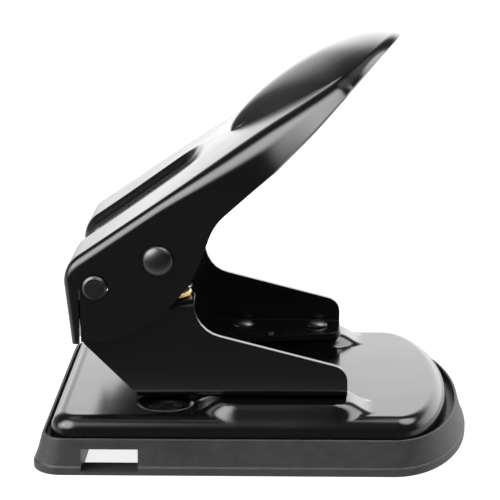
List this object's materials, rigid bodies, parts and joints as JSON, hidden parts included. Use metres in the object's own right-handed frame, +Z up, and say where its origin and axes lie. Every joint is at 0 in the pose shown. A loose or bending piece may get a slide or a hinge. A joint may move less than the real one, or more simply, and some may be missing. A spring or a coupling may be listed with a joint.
{
  "type": "two-hole punch",
  "caption": "Desk hole punch: a broad sloped steel lever on folded brackets drives spring-lifted punches through a steel base plate that sits in a plastic chip tray.",
  "frame": {"origin": "middle of the bounding box's underside, on the table", "axes": "+X from the paper's edge towards the raised handle, +Y across the lever to the far bracket, +Z up"},
  "size_m": [0.1602, 0.13, 0.1542],
  "materials": {
    "satin_black_paint": "satin black enamel over pressed steel",
    "grey_plastic": "fine moulded grain",
    "bright_steel": "bright plated",
    "blackened_steel": "black oxide",
    "ground_steel": "ground",
    "brass": "turned",
    "spring_wire": "drawn wire"
  },
  "bodies": {
    "stand": {"base_plate": "satin_black_paint", "bracket_near": "satin_black_paint", "bracket_far": "satin_black_paint", "rivet_near_front": "blackened_steel", "rivet_near_rear": "blackened_steel", "rivet_far_front": "blackened_steel", "rivet_far_rear": "blackened_steel", "die_near": "ground_steel", "die_far": "ground_steel", "punch_guide_near": "brass", "punch_guide_far": "brass", "pivot_shaft": "blackened_steel", "pivot_washer_near": "bright_steel", "pivot_washer_far": "bright_steel", "pivot_clip_near": "bright_steel", "pivot_clip_far": "bright_steel", "return_spring_near": "spring_wire", "return_spring_far": "spring_wire"},
    "tray": {"base_tray": "grey_plastic"},
    "lever_body": {"lever": "satin_black_paint", "drive_shaft": "bright_steel", "shaft_cap_near": "blackened_steel", "shaft_cap_far": "blackened_steel", "roller_near": "ground_steel", "roller_far": "ground_steel"},
    "punch_near_body": {"punch_near": "ground_steel", "punch_clip_near": "bright_steel", "spring_washer_near": "bright_steel"},
    "punch_far_body": {"punch_far": "ground_steel", "punch_clip_far": "bright_steel", "spring_washer_far": "bright_steel"}
  },
  "joints": [
    {"name": "lever_hinge", "type": "hinge", "parent": "stand", "child": "lever_body", "pos_m": [-0.057, 0, 0.066], "axis": [0, 1, 0], "range_deg": [0, 21.5], "stiffness_Nm_per_rad": 2, "springref_deg": -17.19},
    {"name": "punch_near_slide", "type": "slide", "parent": "stand", "child": "punch_near_body", "axis": [0, 0, -1], "range_m": [0, 0.0091], "deforming": ["return_spring_near"]},
    {"name": "punch_far_slide", "type": "slide", "parent": "stand", "child": "punch_far_body", "axis": [0, 0, -1], "range_m": [0, 0.0091], "deforming": ["return_spring_far"]},
    {"name": "tray_release", "type": "slide", "parent": "stand", "child": "tray", "axis": [0, 0, -1], "range_m": [0, 0.02]}
  ],
  "couplings": [
    {"joint": "punch_near_slide", "follows": "lever_hinge", "m_per_rad": 0.023946},
    {"joint": "punch_far_slide", "follows": "lever_hinge", "m_per_rad": 0.023946}
  ]
}
